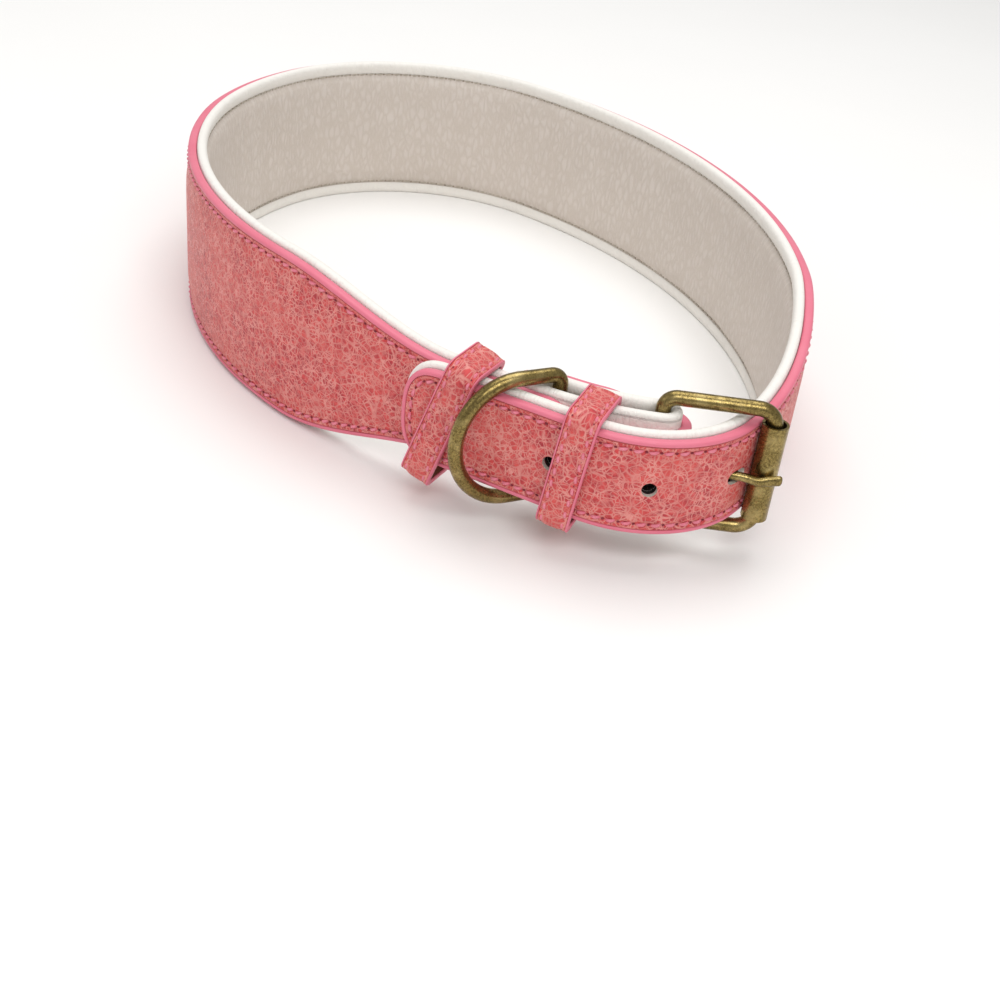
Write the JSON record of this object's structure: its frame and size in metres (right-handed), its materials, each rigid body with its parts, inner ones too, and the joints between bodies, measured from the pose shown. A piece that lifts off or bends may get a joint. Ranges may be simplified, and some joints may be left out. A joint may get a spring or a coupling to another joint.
{
  "type": "padded buckle dog collar",
  "caption": "Wide padded leather dog collar with a roller buckle, a D-ring, punched tongue and sliding keepers, buckled into a loop and standing on its edge.",
  "frame": {"origin": "centre of the bounding box in plan, on the plane of the collar's lower edge", "axes": "+Z across the strap's width, up from the edge it stands on; +Y along the loop's long way, away from the buckle; +X towards the side that the tongue comes from"},
  "size_m": [0.1986, 0.2552, 0.052],
  "materials": {
    "face_leather": "crackle-grained, satin",
    "lining": "soft matte",
    "board": "painted edge, satin",
    "foam": "matte",
    "face_thread": "matte",
    "lining_thread": "matte",
    "keeper_backing": "matte",
    "brass": "antiqued, polished high spots"
  },
  "bodies": {
    "strap": {"outer_leather": "face_leather", "backing_board": "board", "lining_leather": "lining", "foam_pad": "foam", "face_thread": "face_thread", "lining_thread": "lining_thread", "rivet_caps": "brass", "rivet_post": "brass"},
    "frame": {"buckle_frame": "brass"},
    "roller": {"roller": "brass"},
    "prong": {"prong": "brass"},
    "ring": {"d_ring": "brass"},
    "tip_keeper": {"tip_keeper_face": "face_leather", "tip_keeper_backing": "keeper_backing", "tip_keeper_thread": "face_thread", "tip_keeper_staple": "brass"},
    "buckle_keeper": {"buckle_keeper_face": "face_leather", "buckle_keeper_backing": "keeper_backing", "buckle_keeper_thread": "face_thread", "buckle_keeper_staple": "brass"}
  },
  "joints": [
    {"name": "frame_tilt", "type": "hinge", "parent": "strap", "child": "frame", "pos_m": [0.05534, -0.11058, 0.026], "axis": [0, 0, 1], "range_deg": [-1.5, 0]},
    {"name": "roller_spin", "type": "hinge", "parent": "frame", "child": "roller", "pos_m": [0.08414, -0.11058, 0.026], "axis": [0, 0, 1], "continuous": true},
    {"name": "prong_lift", "type": "hinge", "parent": "frame", "child": "prong", "pos_m": [0.05534, -0.11058, 0.026], "axis": [0, 0, 1], "range_deg": [-1.3, 0]},
    {"name": "ring_swing", "type": "hinge", "parent": "strap", "child": "ring", "pos_m": [0.02887, -0.10514, 0.026], "axis": [0, 0, 1], "range_deg": [0, 35]},
    {"name": "tip_keeper_slide", "type": "slide", "parent": "strap", "child": "tip_keeper", "axis": [0.9063, -0.4226, 0], "range_m": [0, 0.0007]},
    {"name": "buckle_keeper_slide", "type": "slide", "parent": "strap", "child": "buckle_keeper", "axis": [0.9455, -0.3256, 0], "range_m": [0, 0.0005]}
  ]
}
